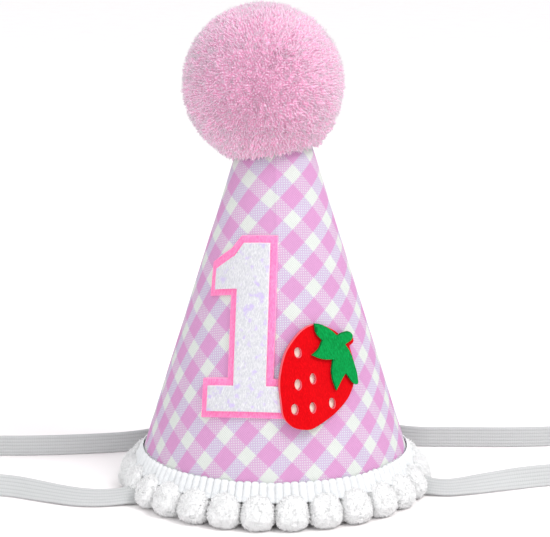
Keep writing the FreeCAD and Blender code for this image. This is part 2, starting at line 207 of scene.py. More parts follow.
def colour(tree, shader, socket):
    tree.links.new(socket, shader.inputs["Base Color"])


def object_place(tree):
    return add(tree, "TexCoord").outputs["Object"]


def flat_place(tree):
    """The two UV numbers, which are metres on the flat cloth."""
    parts = add(tree, "SeparateXYZ", {0: add(tree, "UVMap").outputs[0]})
    return parts.outputs[0], parts.outputs[1]


def attribute(tree, name):
    return add(tree, "Attribute", attribute_name=name).outputs["Fac"]


def darkened(tree, base, share):
    """A colour multiplied by a plain share."""
    grey = add(tree, "CombineColor", {0: share, 1: share, 2: share}).outputs[0]
    return mix(tree, 1.0, base, grey, "MULTIPLY")


# %% Floor
floor_mesh = bmesh.new()
bmesh.ops.create_grid(floor_mesh, x_segments=8, y_segments=8, size=6.0)
floor_data = bpy.data.meshes.new("floor")
floor_mesh.to_mesh(floor_data)
floor_mesh.free()
floor = place_object("floor", floor_data)
floor_material, floor_tree, floor_shader = start_material("white_sweep", Roughness=0.9)
floor_grain = add(floor_tree, "TexNoise", {"Vector": object_place(floor_tree),
                                           "Scale": 40.0, "Detail": 2.0})
colour(floor_tree, floor_shader, mix(floor_tree, floor_grain.outputs[0], tint("FBF6F6"), tint("FFFDFD")))
floor_data.materials.append(floor_material)

# %% [markdown]
# ## Small tools for meshes
# Cloth, braid and elastic all start as a flat grid, because that is what they are: we give the grid a
# UV map in metres while it is still flat, then move each point to where the finished sheet has it.
# Points on the hat are easiest to give on the unrolled cone: an angle round from the front, a
# distance down the slope, and an offset from the card, so one helper turns those into a place.


# %% Mesh helpers
def apex_z(offset):
    return RIM_Z + RIM_RADIUS / SLOPE + offset / math.sin(HALF_ANGLE)


def cone_place(angle, slant, offset):
    """The place at an angle round from the front, a slant distance below the apex of that layer."""
    radius = slant * math.sin(HALF_ANGLE)
    return Vector((radius * math.sin(angle), -radius * math.cos(angle),
                   apex_z(offset) - slant * math.cos(HALF_ANGLE)))


def slant_at(height, offset):
    return (apex_z(offset) - height) / math.cos(HALF_ANGLE)


def shaped_grid(columns, rows, place, pattern):
    """A grid whose points go to place(u, v) and whose UVs are pattern(u, v), with u and v in 0..1."""
    mesh = bmesh.new()
    bmesh.ops.create_grid(mesh, x_segments=columns, y_segments=rows, size=1.0)
    uv_layer = mesh.loops.layers.uv.new("UVMap")
    for face in mesh.faces:
        for corner in face.loops:
            flat = corner.vert.co
            corner[uv_layer].uv = pattern((flat.x + 1) / 2, (flat.y + 1) / 2)
    for vertex in mesh.verts:
        vertex.co = place((vertex.co.x + 1) / 2, (vertex.co.y + 1) / 2)
    return mesh


def finish_piece(name, mesh, material, body="hat"):
    """Turns a bmesh into a smooth-shaded object that rides on a body."""
    data = bpy.data.meshes.new(name)
    mesh.to_mesh(data)
    mesh.free()
    data.shade_smooth()
    data.materials.append(material)
    piece = place_object(name, data)
    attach(piece, body)
    print(name, len(data.polygons), "faces")
    return piece


def step_between(value, low, high):
    """0 below low, 1 above high, and a smooth rise between."""
    share = min(max((value - low) / (high - low), 0.0), 1.0)
    return share * share * (3 - 2 * share)


# %% [markdown]
# ## Elastic
# The chin elastic is a flat braid of rubber cords inside white thread, 7 mm wide. It stands on its
# edge on the table and makes one long loop from one side of the rim, behind the hat, to the other.
# A NURBS curve through a few listed points gives the line. A bevelled curve could give the band
# itself, but it could not lean over near the rim or show the cords, so the band is a ribbed grid that
# follows points read from that curve. Near the rim it leans back, as a soft strap does.

# %% Elastic route
ELASTIC_WIDTH = 0.0070
ELASTIC_WALL = 0.0010
CARD = 0.0008
ELASTIC_ROUTE = (
    (-0.03627, -0.01875), (-0.04771, -0.02119), (-0.0588, -0.0231), (-0.0715, -0.0180),
    (-0.0840, -0.0123), (-0.0975, -0.0115), (-0.1115, -0.0143), (-0.1224, -0.0090),
    (-0.1284, 0.0011), (-0.1284, 0.0131), (-0.1224, 0.0238), (-0.1120, 0.0305), (-0.0980, 0.0292),
    (-0.0840, 0.0287), (-0.0660, 0.0303), (-0.0455, 0.0342), (-0.0313, 0.0471), (-0.0162, 0.0560),
    (0.0000, 0.0592), (0.0162, 0.0574), (0.0310, 0.0503), (0.0450, 0.0391), (0.0630, 0.0392),
    (0.0820, 0.0386), (0.0970, 0.0403), (0.1100, 0.0431), (0.1204, 0.0377), (0.1264, 0.0277),
    (0.1264, 0.0157), (0.1204, 0.0049), (0.1100, -0.0017), (0.0980, -0.0016), (0.0860, -0.0032),
    (0.0730, -0.0069), (0.0610, -0.0106), (0.05064, -0.01291), (0.03995, -0.00815))
# How far the band leans back, in degrees, at a distance along it from each of its ends.
LEFT_LEAN = ((0.0, 20.0), (0.011, 62.0), (0.029, 54.0), (0.049, 34.0), (0.075, 8.0), (0.100, 0.0))
RIGHT_LEAN = ((0.0, 20.0), (0.011, 62.0), (0.018, 60.0), (0.029, 46.0), (0.046, 16.0), (0.070, 0.0))


def lean_at(table, distance):
    """The lean, in radians, eased between the rows of a table."""
    for (start, low), (end, high) in zip(table, table[1:]):
        if distance <= end:
            return math.radians(low + (high - low) * step_between(distance, start, end))
    return math.radians(table[-1][1])


def distances_along(points):
    run = [0.0]
    for before, after in zip(points, points[1:]):
        run.append(run[-1] + (Vector(after) - Vector(before)).length)
    return run


def lean_of(distance, whole):
    if distance < whole / 2:
        return lean_at(LEFT_LEAN, distance)
    return lean_at(RIGHT_LEAN, whole - distance)


def middle_height(lean):
    """The height of the band's middle line when its lower edge rests on the floor."""
    return ELASTIC_WIDTH / 2 * math.cos(lean) + ELASTIC_WALL / 2 * math.sin(lean)


def curve_mesh(curve):
    """The bmesh that a curve makes; the curve itself is removed."""
    holder = bpy.data.objects.new(curve.name, curve)
    data = bpy.data.meshes.new_from_object(holder)
    bpy.data.objects.remove(holder)
    mesh = bmesh.new()
    mesh.from_mesh(data)
    bpy.data.meshes.remove(data)
    bpy.data.curves.remove(curve)
    return mesh


def curve_points(name, points):
    """Points along a NURBS curve led by the given control points."""
    curve = bpy.data.curves.new(name, "CURVE")
    curve.dimensions = "3D"
    curve.resolution_u = 10
    spline = curve.splines.new("NURBS")
    spline.points.add(len(points) - 1)
    for control, place in zip(spline.points, points):
        control.co = (*place, 1.0)
    spline.order_u = 3
    spline.use_endpoint_u = True
    mesh = curve_mesh(curve)
    found = [vertex.co.copy() for vertex in mesh.verts]
    mesh.free()
    return found


route_run = distances_along(ELASTIC_ROUTE)
route_points = [(x, y, middle_height(lean_of(run, route_run[-1])))
                for (x, y), run in zip(ELASTIC_ROUTE, route_run)]
elastic_line = curve_points("elastic_line", route_points)
elastic_run = distances_along(elastic_line)
print("elastic length %.4f in %d points" % (elastic_run[-1], len(elastic_line)))

# %% [markdown]
# The band's section has six round cords side by side. We describe it once, as a closed outline, and
# carry it along the line by bending a grid round it. The same helper makes the two ends, which turn up
# inside the rim and are glued there.

# %% Elastic band
CORDS = 6
POINTS_PER_CORD = 5
GROOVE_SHARE = 0.42


def band_outline(wall):
    """(across, out, groove) for each point of the ribbed section, once round it."""
    outline = []
    count = CORDS * POINTS_PER_CORD
    for side in (1, -1):
        for i in range(count):
            share = (i + 0.5) / count
            across = (0.5 - share) * side
            crown = abs(math.sin(math.pi * share * CORDS)) ** 0.6
            edge = min(1.0, 3.2 * math.sqrt(0.25 - across * across) + 0.15)
            height = wall / 2 * (1 - GROOVE_SHARE * (1 - crown)) * edge
            outline.append((across * ELASTIC_WIDTH, height * side, 1 - crown))
    return outline


def ribbed_band(line, across_of, wall):
    """A ribbed band along a line; across_of(i) is the direction of its width at point i."""
    outline = band_outline(wall)
    run = distances_along(line)
    steps = len(line) - 1
    sides = len(outline)
    frames = []
    for i in range(len(line)):
        tangent = (line[min(i + 1, steps)] - line[max(i - 1, 0)]).normalized()
        across = across_of(i, tangent)
        across = (across - tangent * across.dot(tangent)).normalized()
        frames.append((line[i], across, tangent.cross(across)))

    def place(u, v):
        middle, across, out = frames[round(u * steps)]
        width, height, _ = outline[round(v * sides) % sides]
        return middle + across * width + out * height

    def pattern(u, v):
        return (run[round(u * steps)], v)

    mesh = shaped_grid(steps, sides, place, pattern)
    groove = mesh.verts.layers.float.new("groove")
    for index, vertex in enumerate(mesh.verts):
        vertex[groove] = outline[(index // (steps + 1)) % sides][2]
    bmesh.ops.remove_doubles(mesh, verts=mesh.verts[:], dist=0.000002)
    bmesh.ops.holes_fill(mesh, edges=[edge for edge in mesh.edges if edge.is_boundary], sides=0)
    bmesh.ops.recalc_face_normals(mesh, faces=mesh.faces[:])
    return mesh


def standing_across(i, tangent):
    lean = lean_of(elastic_run[i], elastic_run[-1])
    level = Vector((-tangent.y, tangent.x, 0)).normalized()
    backwards = level if level.y > 0 else -level
    return Vector((0, 0, math.cos(lean))) + backwards * math.sin(lean)


# %% [markdown]
# ## Elastic finish
# The white thread is braided across the cords, so a close look shows fine ticks at right angles to the
# ribs and a darker line in each groove; both are painted shade, darker where the surface sinks. Both
# follow the band, so the ticks come from its UV map, whose first number is the distance along it in
# metres, and the grooves from an attribute on its points. The fuzz of the thread is a noise that other
# white trims share, so it is made as a group here.


# %% Thread fuzz group
def make_fuzz_group():
    """Fine soft noise: Shade for the colour and Height for a bump, at a grain size in metres."""
    tree, start, end = start_group("thread_fuzz", (("Vector", "Vector"), ("Grain", "Float")),
                                   (("Shade", "Float"), ("Height", "Float")))
    scale = calc(tree, "DIVIDE", 1.0, start.outputs["Grain"])
    fine = add(tree, "TexNoise", {"Vector": start.outputs["Vector"], "Scale": scale, "Detail": 4.0,
                                  "Roughness": 0.6})
    slow = add(tree, "TexNoise", {"Vector": start.outputs["Vector"],
                                  "Scale": calc(tree, "MULTIPLY", scale, 0.12), "Detail": 2.0})
    tree.links.new(calc(tree, "MULTIPLY_ADD", fine.outputs[0], 0.6,
                        calc(tree, "MULTIPLY", slow.outputs[0], 0.4)), end.inputs["Shade"])
    tree.links.new(fine.outputs[0], end.inputs["Height"])
    return tree


THREAD_FUZZ = make_fuzz_group()
TICK_PITCH = 0.00075


def fuzz_at(tree, grain):
    """The thread fuzz on a piece, with its grain in metres."""
    return use_group(tree, THREAD_FUZZ, {"Vector": object_place(tree), "Grain": grain})


def make_elastic_material():
    material, tree, shader = start_material("braided_elastic", Roughness=0.62, Sheen_Weight=0.25,
                                            Sheen_Roughness=0.5)
    along = flat_place(tree)[0]
    ticks = calc(tree, "PINGPONG", calc(tree, "DIVIDE", along, TICK_PITCH), 0.5)
    groove = attribute(tree, "groove")
    fuzz = fuzz_at(tree, 0.0005)
    # Painted shade: the grooves darken toward 7E8182 and the ticks toward 9A9D9D, where the bump sinks.
    base = mix(tree, ease(tree, groove, 0.25, 1.0), tint("BEC0C0"), tint("7E8182"))
    ticked = mix(tree, calc(tree, "MULTIPLY", ticks, 0.35), base, tint("9A9D9D"))
    shaded = mix(tree, calc(tree, "MULTIPLY", fuzz.outputs["Shade"], 0.25), ticked, tint("CDCFCF"))
    colour(tree, shader, shaded)
    height = calc(tree, "MULTIPLY_ADD", ticks, -0.6, fuzz.outputs["Height"])
    bump(tree, shader, height, 0.00012, 0.7)
    return material


elastic_material = make_elastic_material()
elastic_mesh = ribbed_band(elastic_line, standing_across, ELASTIC_WALL)
elastic = finish_piece("chin_elastic", elastic_mesh, elastic_material)
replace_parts(elastic, "elastic_band")


# %% [markdown]
# The two ends come in along the table, turn up at the rim and lie flat on the inside of the card, so
# each is a short band of its own that turns from standing on edge to lying on the card.

# %% Elastic ends inside the rim
TAB_GAP = 0.0002
TAB_TOP = 0.0078


def end_band(side, start, inner):
    """The end of the elastic: it comes in along the floor, folds up and lies on the card's inside."""
    angle = math.atan2(start[0], -start[1])
    heading = (Vector((*start, 0)) - Vector((*inner, 0))).normalized()
    offset = -CARD - ELASTIC_WALL / 2 - TAB_GAP
    top_z = RIM_Z + TAB_TOP
    wall_low = cone_place(angle, slant_at(RIM_Z + 0.0016, offset), offset)
    wall_high = cone_place(angle, slant_at(top_z, offset), offset)
    floor_place = Vector((*start, route_points[0][2]))
    bend = floor_place + heading * 0.0016 + Vector((0, 0, 0.0012))
    line = curve_points("end_line", [floor_place - heading * 0.0004, bend,
                                     (bend + wall_low) / 2 + Vector((0, 0, 0.0006)), wall_low,
                                     (wall_low + wall_high) / 2, wall_high])
    sideways = Vector((math.cos(angle), math.sin(angle), 0))
    upright = Vector((0, 0, 1))
    steps = len(line) - 1

    def across_of(i, tangent):
        turn = step_between(i / steps, 0.05, 0.6)
        return upright * (1 - turn) + sideways * turn * (1 if side == "left" else -1)

    mesh = ribbed_band(line, across_of, ELASTIC_WALL * 0.9)
    return finish_piece("elastic_tab_" + side, mesh, elastic_material)


left_tab = end_band("left", ELASTIC_ROUTE[0], ELASTIC_ROUTE[1])
right_tab = end_band("right", ELASTIC_ROUTE[-1], ELASTIC_ROUTE[-2])
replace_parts(left_tab, "elastic_end_left")
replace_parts(right_tab, "elastic_end_right")
tuple(elastic_line[0])
[tuple(point) for point in elastic_line]

# %% [markdown]
# ## Gingham cover
# The cover is one piece of woven check cut as a fan, wrapped on the cone and glued, with its back edge
# lapped over and its hem turned in at the rim. A UV map taken from the unrolled cone keeps the checks
# square, the way a cut cloth does: a map projected from the front would stretch at the sides. A cloth
# simulation adds nothing, because the glue holds the cloth flat, so a pressed crease down the front
# and a slight waviness are given in the grid.

# %% Gingham cover
LAP = 0.0060
HEM = 0.0045
LAP_RISE = 0.0030
LAP_GAP = 0.00012
TURN_RADIUS = 0.0007
CREASE_HEIGHT = 0.00022
CREASE_WIDTH = 0.0007
WAVE_HEIGHT = 0.00010
CREASE_ANGLE = math.radians(2.0)
COVER_COLUMNS = 480
COVER_ROWS = 110
COVER_MIDDLE = COTTON / 2

slope_length = (TIP_Z - RIM_Z) / math.cos(HALF_ANGLE)
cover_length = slope_length + math.pi * TURN_RADIUS + HEM
top_slant = slant_at(TIP_Z, 0)


def cover_place(u, v):
    down = v * cover_length
    outside = min(down, slope_length)
    slant = top_slant + outside
    lap_angle = LAP / (slant * math.sin(HALF_ANGLE))
    angle = -math.pi + u * (2 * math.pi + lap_angle)
    from_crease = (angle - CREASE_ANGLE) * slant * math.sin(HALF_ANGLE)
    crease = CREASE_HEIGHT * math.exp(-(from_crease / CREASE_WIDTH) ** 2)
    ripple = noise.noise(Vector((math.sin(angle) * 2.2, math.cos(angle) * 2.2, slant * 60)))
    wave = WAVE_HEIGHT * ripple
    past_lap = (angle - math.pi) * slant * math.sin(HALF_ANGLE)
    lapped = (COTTON + LAP_GAP) * step_between(past_lap, -LAP_RISE, 0)
    offset = COVER_MIDDLE + crease + wave + 0.00005 + lapped
    if down <= slope_length:
        return cone_place(angle, slant_at(TIP_Z - outside * math.cos(HALF_ANGLE), offset), offset)
    over = down - slope_length
    turn = min(over / TURN_RADIUS, math.pi)
    inwards = offset - TURN_RADIUS * (1 - math.cos(turn)) - step_between(turn, 0, math.pi) * lapped * 2
    rise = max(over - math.pi * TURN_RADIUS, 0)
    height = RIM_Z - TURN_RADIUS * math.sin(turn) * 0.6 + rise * math.cos(HALF_ANGLE)
    return cone_place(angle, slant_at(height, inwards), inwards)


def cover_pattern(u, v):
    slant = top_slant + v * cover_length
    lap_angle = LAP / (slant * math.sin(HALF_ANGLE))
    fan = (-math.pi + u * (2 * math.pi + lap_angle)) * math.sin(HALF_ANGLE)
    return (slant * math.sin(fan), -slant * math.cos(fan))


# %% [markdown]
# ## Gingham finish
# In a gingham each stripe is a band of dyed threads, and where two dyed bands cross the colour is full.
# So the finish works as a loom does: it finds whether the warp and the weft threads are dyed at a
# point, then which of the two lies on top there. The plain weave itself is a group, with a mask that
# says which thread is on top and a height that rounds each thread.


# %% Plain weave group
def make_weave_group():
    tree, start, end = start_group("plain_weave", (("Vector", "Vector"), ("Pitch", "Float")),
                                   (("Over", "Float"), ("Crown", "Float")))
    parts = add(tree, "SeparateXYZ", {0: start.outputs["Vector"]})
    across = calc(tree, "DIVIDE", parts.outputs[0], start.outputs["Pitch"])
    along = calc(tree, "DIVIDE", parts.outputs[1], start.outputs["Pitch"])
    cells = calc(tree, "ADD", calc(tree, "FLOOR", across), calc(tree, "FLOOR", along))
    over = calc(tree, "PINGPONG", cells, 1.0)
    ridge_across = calc(tree, "PINGPONG", across, 0.5)
    ridge_along = calc(tree, "PINGPONG", along, 0.5)
    top = calc(tree, "MULTIPLY", over, calc(tree, "POWER", ridge_across, 0.5))
    under = calc(tree, "MULTIPLY", calc(tree, "SUBTRACT", 1.0, over),
                 calc(tree, "POWER", ridge_along, 0.5))
    tree.links.new(over, end.inputs["Over"])
    tree.links.new(calc(tree, "MULTIPLY", calc(tree, "ADD", top, under), 1.41), end.inputs["Crown"])
    return tree


PLAIN_WEAVE = make_weave_group()
WARP_TURN = math.radians(46.56)
WEFT_TURN = math.radians(48.37)
WARP_REPEAT = 0.010207
WEFT_REPEAT = 0.009275
WARP_START = -0.257
WEFT_START = 0.550
THREAD_PITCH = 0.00052
BAND_EDGE = (0.190, 0.245)
THREAD_SHARE = 0.45


def make_gingham_material():
    material, tree, shader = start_material("gingham_cotton", Roughness=0.9, Specular_IOR_Level=0.2)
    across, down = flat_place(tree)

    def turned(first, second):
        return calc(tree, "ADD", calc(tree, "MULTIPLY", across, first),
                    calc(tree, "MULTIPLY", down, second))

    warp = turned(math.cos(WARP_TURN), math.sin(WARP_TURN))
    weft = turned(-math.sin(WEFT_TURN), math.cos(WEFT_TURN))

    def dyed(place, repeat, start):
        stripes = calc(tree, "ADD", calc(tree, "DIVIDE", place, repeat), start)
        return ease(tree, calc(tree, "PINGPONG", stripes, 0.5), *BAND_EDGE)

    warp_dyed = dyed(warp, WARP_REPEAT, WARP_START)
    weft_dyed = dyed(weft, WEFT_REPEAT, WEFT_START)
    plain = mix(tree, warp_dyed, tint("D0D5D0"), tint("BEB8D3"))
    crossed = mix(tree, warp_dyed, tint("CCA5CA"), tint("D294C3"))
    bands = mix(tree, weft_dyed, plain, crossed)
    threads = add(tree, "CombineXYZ", {0: warp, 1: weft}).outputs[0]
    weave = use_group(tree, PLAIN_WEAVE, {"Vector": threads, "Pitch": THREAD_PITCH})
    top_dyed = calc(tree, "ADD", calc(tree, "MULTIPLY", warp_dyed, weave.outputs["Over"]),
                    calc(tree, "MULTIPLY", weft_dyed, calc(tree, "SUBTRACT", 1.0, weave.outputs["Over"])))
    thread = mix(tree, top_dyed, tint("D8DDD8"), tint("C998C2"))
    woven = mix(tree, THREAD_SHARE, bands, thread)
    # Painted shade: the colour darkens in the low gaps between the threads; the fuzz adds random tone.
    gap_shade = ease(tree, weave.outputs["Crown"], 0.1, 0.8, 0.66, 1.0)
    fuzz = fuzz_at(tree, 0.0011)
    painted_light_and_tone = calc(tree, "MULTIPLY", gap_shade, ease(tree, fuzz.outputs["Shade"], 0.2, 0.8, 0.95, 1.03))
    colour(tree, shader, darkened(tree, woven, painted_light_and_tone))
    bump(tree, shader, weave.outputs["Crown"], 0.00006, 0.5)
    return material


gingham_material = make_gingham_material()
cover_mesh = shaped_grid(COVER_COLUMNS, COVER_ROWS, cover_place, cover_pattern)
cover = finish_piece("gingham_wrap", cover_mesh, gingham_material)
cover_wall = cover.modifiers.new("cloth_wall", "SOLIDIFY")
cover_wall.thickness = COTTON
cover_wall.offset = 0.0
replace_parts(cover, "gingham_cover")

# %% [markdown]
# ## Fringe heading
# The balls hang from a woven heading that looks like a row of small upright bundles, each a little
# pinched where two rows of stitches hold it. Separate bundles would be a hundred pieces, so the heading
# is one closed ring: a grid bent round into a tube, with the bundles raised on it by a formula.

# %% Fringe heading
BUNDLES = 112
BUNDLE_COLUMNS = 10
HEADING_ROWS = 24
HEADING_LOW = 0.0068
HEADING_ARCH = 0.0077
HEADING_FRONT = 0.72
BUNDLE_POWER = 0.42
FLARE = 0.0008
STRAND_PITCH = 0.00055
STITCH_ROWS = (0.0091, 0.0074)
STITCH_WIDTH = 0.00032
BALL_NAMES = sorted(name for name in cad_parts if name.startswith("trim_ball_"))
HEADING_TOP = header_high[2]

random.seed(11)
bundle_swell = [random.uniform(-1, 1) for _ in range(BUNDLES)]


def heading_place(u, v):
    angle = 2 * math.pi * u
    phase = u * BUNDLES
    swell = bundle_swell[int(phase) % BUNDLES]
    bump_share = abs(math.sin(math.pi * phase)) ** BUNDLE_POWER
    between = abs(math.cos(math.pi * u * len(BALL_NAMES)))
    top = HEADING_TOP + 0.0006 * (bump_share - 0.5) + 0.00012 * swell
    low = HEADING_ARCH - (HEADING_ARCH - HEADING_LOW) * (1 - between) ** 1.5
    inner = COTTON + 0.00006
    if v < HEADING_FRONT:
        share = v / HEADING_FRONT
        height = top + (low - top) * share
        pinch = sum(math.exp(-((height - row) / STITCH_WIDTH) ** 2) for row in STITCH_ROWS)
        ends = min(1.0, 5.5 * share + 0.25, 6.0 * (1 - share) + 0.35)
        thick = BRAID * (0.30 + (0.78 + 0.06 * swell) * bump_share * (1 - 0.34 * pinch)) * math.sqrt(ends)
        flare = FLARE * step_between(share, 0.20, 1.0)
        offset = inner + thick + flare
    else:
        share = (v - HEADING_FRONT) / (1 - HEADING_FRONT)
        height = low + (top - low) * share
        offset = inner + 0.0007 * (1 - step_between(share, 0.0, 0.5)) * 0.6
    return cone_place(angle, slant_at(height, offset), offset)


def heading_pattern(u, v):
    return (u * 2 * math.pi * RIM_RADIUS, v * 0.016)


def make_braid_material():
    material, tree, shader = start_material("fringe_braid", Roughness=0.85, Sheen_Weight=0.4,
                                            Sheen_Roughness=0.45)
    strands = calc(tree, "PINGPONG", calc(tree, "DIVIDE", flat_place(tree)[0], STRAND_PITCH), 0.5)
    fuzz = fuzz_at(tree, 0.0006)
    base = mix(tree, ease(tree, fuzz.outputs["Shade"], 0.25, 0.75), tint("D6D9DB"), tint("EAECED"))
    # Painted shade: the white greys toward B9BDC1 in the low grooves between the strands.
    colour(tree, shader, mix(tree, calc(tree, "MULTIPLY", strands, 0.22), base, tint("B9BDC1")))
    height = calc(tree, "MULTIPLY_ADD", strands, -0.7, fuzz.outputs["Height"])
    bump(tree, shader, height, 0.00015, 0.8)
    return material


heading_mesh = shaped_grid(BUNDLES * BUNDLE_COLUMNS, HEADING_ROWS, heading_place, heading_pattern)
bmesh.ops.remove_doubles(heading_mesh, verts=heading_mesh.verts[:], dist=0.000002)
bmesh.ops.recalc_face_normals(heading_mesh, faces=heading_mesh.faces[:])
heading = finish_piece("fringe_heading", heading_mesh, make_braid_material())
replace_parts(heading, "trim_header")

# %% [markdown]
# ## Cut yarn
# A pom-pom is a bundle of yarn tied in the middle and trimmed to a ball, so its surface is the cut ends
# of strands, each a small tuft, with rosy shadow between them. Hair particles don't export, and one
# rough sphere looks like stone. Here each face of a jittered icosphere is extruded into its own
# tapered tuft, and layers of fine spikes stand for the loose fibres. Two attributes are kept for the
# colour: how near a point is to its tuft's tip, and a random shade for each tuft.


# %% Tufts and fibres
def random_step(spread, reach):
    return Vector((spread.uniform(-1, 1), spread.uniform(-1, 1), spread.uniform(-1, 1))) * reach


def jittered_sphere(subdivisions, jitter, seed):
    """An icosphere of directions whose points are shifted a little, so that no lattice shows."""
    spread = random.Random(seed)
    mesh = bmesh.new()
    bmesh.ops.create_icosphere(mesh, subdivisions=subdivisions, radius=1.0)
    mesh.verts.layers.float.new("tip")
    mesh.verts.layers.float.new("shade")
    mesh.faces.layers.int.new("tuft")
    mesh.edges.ensure_lookup_table()
    reach = jitter * mesh.edges[0].calc_length()
    for vertex in mesh.verts:
        vertex.co = (vertex.co + random_step(spread, reach)).normalized()
    return mesh


def grow_tufts(mesh, faces, tip_of, steps, widths, crown, seed):
    """Extrudes each face on its own towards tip_of(face), with a width for each step."""
    spread = random.Random(seed)
    tip = mesh.verts.layers.float["tip"]
    shade = mesh.verts.layers.float["shade"]
    tuft = mesh.faces.layers.int["tuft"]
    tufts = []
    for number, face in enumerate(faces):
        face[tuft] = number
        tufts.append((face.calc_center_median(), tip_of(face, spread), spread.random()))
    current = faces
    for share, width in zip(steps, widths):
        current = bmesh.ops.extrude_discrete_faces(mesh, faces=current)["faces"]
        for face in current:
            root, aim, tone = tufts[face[tuft]]
            middle = face.calc_center_median()
            for vertex in face.verts:
                vertex.co = root.lerp(aim, share) + (vertex.co - middle) * width
                vertex[tip] = share
                vertex[shade] = tone
    for vertex in bmesh.ops.poke(mesh, faces=current)["verts"]:
        root, aim, tone = tufts[vertex.link_faces[0][tuft]]
        vertex.co = aim + (aim - root).normalized() * crown
        vertex[tip] = 1.0
        vertex[shade] = tone


def grow_fibres(subdivisions, root_of, tip_of, width, seed):
    """A mesh of loose spikes: each face of an icosphere shrinks to a root and is poked to a point."""
    spread = random.Random(seed)
    mesh = jittered_sphere(subdivisions, 0.4, seed)
    bmesh.ops.split_edges(mesh, edges=mesh.edges[:])
    tip = mesh.verts.layers.float["tip"]
    shade = mesh.verts.layers.float["shade"]
    tuft = mesh.faces.layers.int["tuft"]
    goals = []
    dropped = []
    for face in mesh.faces:
        direction = face.calc_center_median().normalized()
        root = root_of(direction)
        if root is None:
            dropped.append(face)
            continue
        face[tuft] = len(goals)
        goals.append((tip_of(direction, spread), spread.random()))
        size = max((vertex.co - direction).length for vertex in face.verts)
        for vertex in face.verts:
            vertex.co = root + (vertex.co - direction) * (width / size)
            vertex[tip] = 0.6
            vertex[shade] = goals[-1][1]
    bmesh.ops.delete(mesh, geom=dropped, context="FACES")
    for vertex in bmesh.ops.poke(mesh, faces=mesh.faces[:])["verts"]:
        vertex.co, vertex[shade] = goals[vertex.link_faces[0][tuft]]
        vertex[tip] = 1.0
    return mesh


# %% [markdown]
# ## Yarn finish
# One group colours every yarn piece: dark and strong between the tufts as painted shade, pale at the
# tips as painted light, with a little difference from tuft to tuft. The pom-pom uses it in pink and the
# fringe balls in white.


# %% Yarn colour group
def make_yarn_group():
    tree, start, end = start_group(
        "cut_yarn", (("Deep", "Color"), ("Middle", "Color"), ("Tip", "Color"), ("Vector", "Vector")),
        (("Color", "Color"), ("Height", "Float")))
    tip = attribute(tree, "tip")
    shade = attribute(tree, "shade")
    # Painted shade and light: the Deep colour at the tufts' roots, the pale Tip colour towards their
    # tips.
    low = mix(tree, ease(tree, tip, 0.30, 0.80), start.outputs["Deep"], start.outputs["Middle"])
    painted_light_and_tone = calc(tree, "MULTIPLY_ADD", shade, 0.45, ease(tree, tip, 0.72, 1.0, -0.2, 0.8))
    high = mix(tree, ease(tree, painted_light_and_tone, 0.0, 1.0), low, start.outputs["Tip"])
    fuzz = use_group(tree, THREAD_FUZZ, {"Vector": start.outputs["Vector"], "Grain": 0.0005})
    soft = ease(tree, fuzz.outputs["Shade"], 0.25, 0.75, 0.93, 1.04)
    tree.links.new(darkened(tree, high, soft), end.inputs["Color"])
    tree.links.new(fuzz.outputs["Height"], end.inputs["Height"])
    return tree


CUT_YARN = make_yarn_group()


def make_yarn_material(name, deep, middle, tip, sheen):
    material, tree, shader = start_material(name, Roughness=1.0, Sheen_Weight=sheen,
                                            Sheen_Roughness=0.5)
    yarn = use_group(tree, CUT_YARN, {"Deep": tint(deep), "Middle": tint(middle), "Tip": tint(tip),
                                    "Vector": object_place(tree)})
    colour(tree, shader, yarn.outputs["Color"])
    bump(tree, shader, yarn.outputs["Height"], 0.0002, 0.5)
    return material


# %% [markdown]
# ## Pom-pom
# The pom-pom is a trimmed ball 50 mm across, tied a little to the left of the axis. It sits over the tip
# like a cap: the strands under it part round the cone and droop. Its core is a closed form with a
# socket for the tip, made by sending the points of the mouth up into it. Short tufts cover the core,
# and three layers of loose fibres stand on it, bent together in soft clumps by one noise.

# %% Pom-pom
POMPOM_RADIUS = (pompom_high[0] - pompom_low[0]) / 2
POMPOM_MIDDLE = Vector(((pompom_low[0] + pompom_high[0]) / 2, 0, pompom_high[2] - POMPOM_RADIUS))
MOUTH_ANGLE = math.radians(38)
DROOP_ANGLE = math.radians(54)
DROOP = math.radians(6)
DROOP_REACH = 0.0004
SOCKET_TOP = TIP_Z + 0.0021
SOCKET_RADIUS = TIP_RADIUS + 0.0010
SOCKET_SHARE = 0.55
LUMP_SCALE = 16.0
LUMP_DEPTH = 0.0009
CLUMP_REACH = 0.0013
PILE_DEPTH = 0.0013
FIBRE_DEPTH = 0.0025
FIBRE_WIDTH = 0.00014
MOUTH_WAY = (Vector((0, 0, TIP_Z - 0.0166)) - POMPOM_MIDDLE).normalized()


def down_angle(direction):
    """The angle between a direction from the pom-pom's middle and the middle of its mouth."""
    return math.acos(max(-1.0, min(1.0, direction.dot(MOUTH_WAY))))


def aside(direction):
    """The part of a direction that is square to the way the mouth faces."""
    level = direction - MOUTH_WAY * direction.dot(MOUTH_WAY)
    return level.normalized() if level.length > 1e-6 else Vector((0, 1, 0))


def swing(direction, angle):
    """The direction on the same side, but at another angle from the mouth's middle."""
    return aside(direction) * math.sin(angle) + MOUTH_WAY * math.cos(angle)


def pile_tip(direction, reach):
    """Where the pile's trimmed surface is: a sphere that droops round the cone."""
    angle = down_angle(direction)
    drooped = 1 - step_between(angle, MOUTH_ANGLE, DROOP_ANGLE)
    aim = swing(direction, angle - DROOP * drooped)
    return POMPOM_MIDDLE + aim * (POMPOM_RADIUS + DROOP_REACH * drooped + reach)


